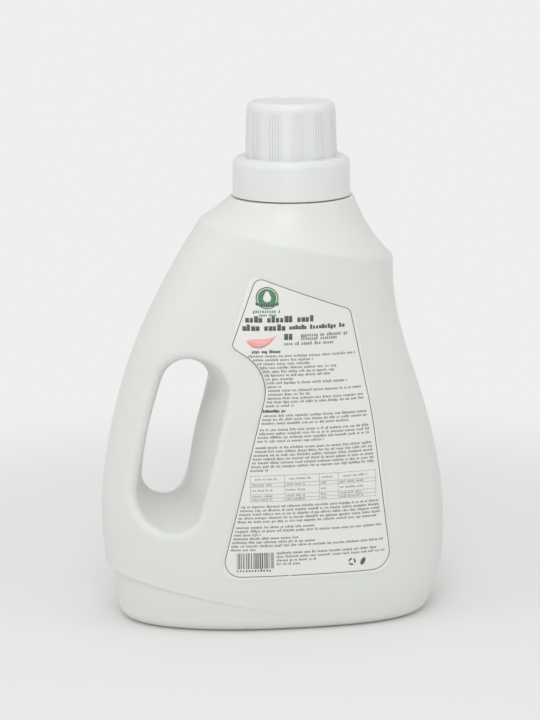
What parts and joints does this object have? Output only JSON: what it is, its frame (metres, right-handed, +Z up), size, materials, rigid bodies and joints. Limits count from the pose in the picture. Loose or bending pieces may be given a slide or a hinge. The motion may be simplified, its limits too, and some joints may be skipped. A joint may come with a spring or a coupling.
{
  "type": "laundry detergent bottle",
  "caption": "White plastic jug with a through handle, sloped shoulder, clear film labels, pour spout and a ribbed screw-on measuring cap.",
  "frame": {"origin": "centre of the base's outline, on the surface that the bottle stands on", "axes": "+Z up, +X from the handle towards the pouring side, -Y towards the labelled back face"},
  "size_m": [0.1818, 0.0922, 0.2712],
  "materials": {
    "white_hdpe": "satin blow-moulded polyethylene",
    "white_pp": "semi-gloss moulded polypropylene",
    "natural_pe": "milky moulded polyethylene",
    "foam": "closed-cell foam",
    "clear_film": "clear self-adhesive film"
  },
  "bodies": {
    "bottle": {"bottle": "white_hdpe", "pour_spout": "natural_pe", "back_label": "clear_film", "front_label": "clear_film"},
    "washer": {"sealing_washer": "foam"},
    "cap": {"cap": "white_pp"}
  },
  "joints": [
    {"name": "cap_rise", "type": "slide", "parent": "bottle", "child": "washer", "axis": [0, 0, 1], "range_m": [0, 0.0421]},
    {"name": "cap_turn", "type": "hinge", "parent": "washer", "child": "cap", "pos_m": [0.01145, 0, 0.2403], "axis": [0, 0, 1], "range_deg": [0, 1512]}
  ],
  "couplings": [
    {"joint": "cap_rise", "follows": "cap_turn", "m_per_rad": 0.0015915}
  ]
}
